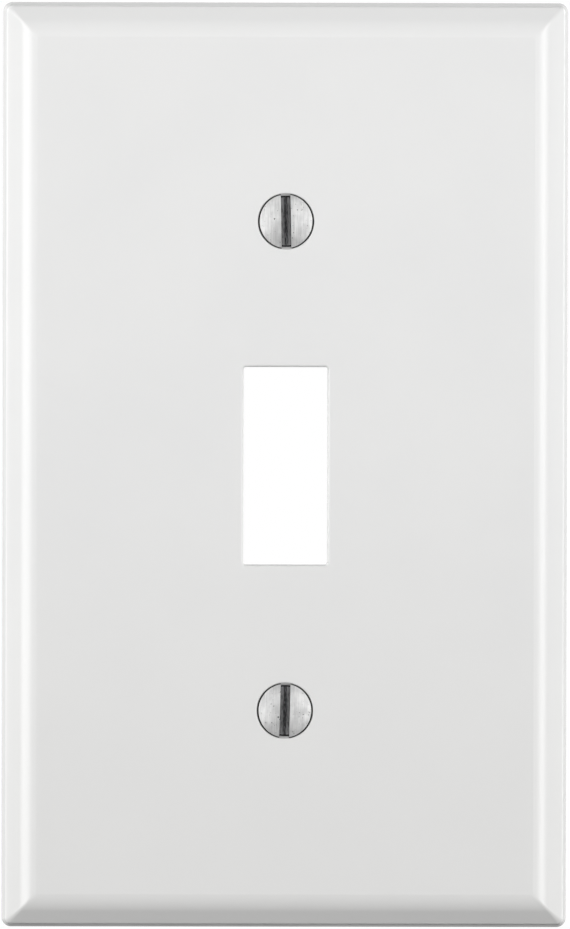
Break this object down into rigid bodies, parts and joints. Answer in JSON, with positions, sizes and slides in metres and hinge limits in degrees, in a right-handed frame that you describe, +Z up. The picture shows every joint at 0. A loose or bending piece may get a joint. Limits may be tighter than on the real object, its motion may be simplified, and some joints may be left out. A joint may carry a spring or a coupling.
{
  "type": "wall plate cover",
  "caption": "White one-gang toggle switch wall plate with bevelled edges, a rectangular opening and slotted oval-head mounting screws.",
  "frame": {"origin": "centre of the plate's outline, on the wall plane that its back rim rests on", "axes": "+Z up, +X to the right as seen from the room, +Y into the wall, so the front faces -Y"},
  "size_m": [0.0698, 0.0136, 0.1142],
  "materials": {
    "plate_plastic": "smooth glossy moulding",
    "upper_screw_steel": "finely brushed, bright plated",
    "lower_screw_steel": "finely brushed, bright plated"
  },
  "bodies": {
    "plate": {"wall_plate": "plate_plastic"},
    "upper_screw": {"upper_screw": "upper_screw_steel"},
    "lower_screw": {"lower_screw": "lower_screw_steel"}
  },
  "joints": [
    {"name": "upper_screw_turn", "type": "hinge", "parent": "plate", "child": "upper_screw", "pos_m": [0, -0.0056, 0.03016], "axis": [0, 1, 0], "continuous": true},
    {"name": "lower_screw_turn", "type": "hinge", "parent": "plate", "child": "lower_screw", "pos_m": [0, -0.0056, -0.03016], "axis": [0, 1, 0], "continuous": true}
  ]
}
